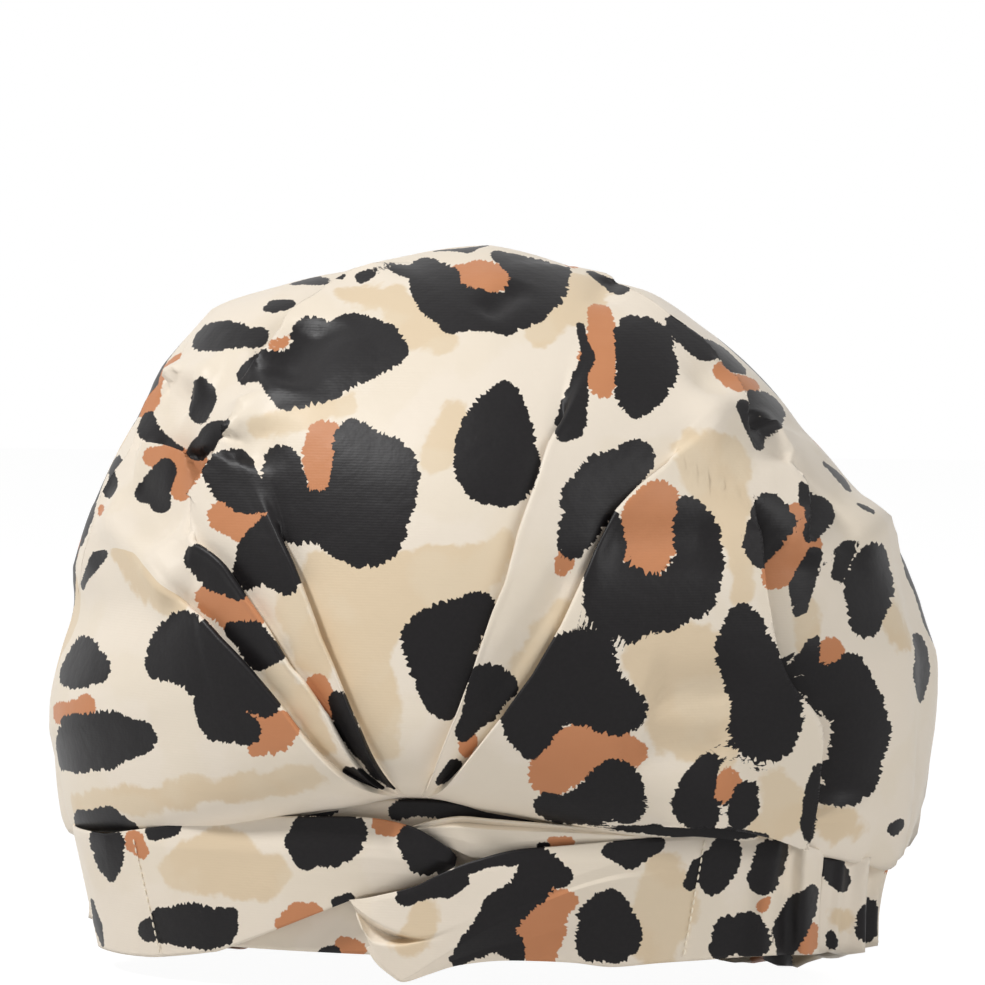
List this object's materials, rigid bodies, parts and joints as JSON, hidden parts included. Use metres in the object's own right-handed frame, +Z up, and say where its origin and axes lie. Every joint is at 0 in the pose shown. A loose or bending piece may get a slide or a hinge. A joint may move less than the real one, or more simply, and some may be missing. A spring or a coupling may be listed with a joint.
{
  "type": "shower cap",
  "caption": "Turban shower cap with a pleated, lined crown, a band crossed in a twist at the front and a gathered elastic back that stretches over the head.",
  "frame": {"origin": "on the floor under the middle of the overall box", "axes": "+Z up to the top of the crown, -Y to the front with the twist, +X to the right as seen from the front"},
  "size_m": [0.2533, 0.1841, 0.204],
  "materials": {
    "printed_cloth": "coated polyester with a soft sheen, ivory ground with black and tan spots",
    "lining_film": "smooth waterproof lining, ivory",
    "tape": "matt woven tape",
    "elastic": "matt ribbed elastic webbing",
    "thread": "matt polyester thread"
  },
  "bodies": {
    "cap": {"outer_crown": "printed_cloth", "crown_lining": "lining_film", "seam_tape": "tape", "band_backing": "printed_cloth", "front_band_left": "printed_cloth", "front_band_right": "printed_cloth", "left_anchor_stitches": "thread", "right_anchor_stitches": "thread", "pleat_tack_stitches": "thread"},
    "elastic_back": {"back_casing": "printed_cloth", "back_elastic": "elastic"}
  },
  "joints": [
    {"name": "back_stretch", "type": "slide", "parent": "cap", "child": "elastic_back", "axis": [0, 1, 0], "range_m": [0, 0.03], "stiffness_N_per_m": 120, "deforming": ["back_elastic"]}
  ]
}
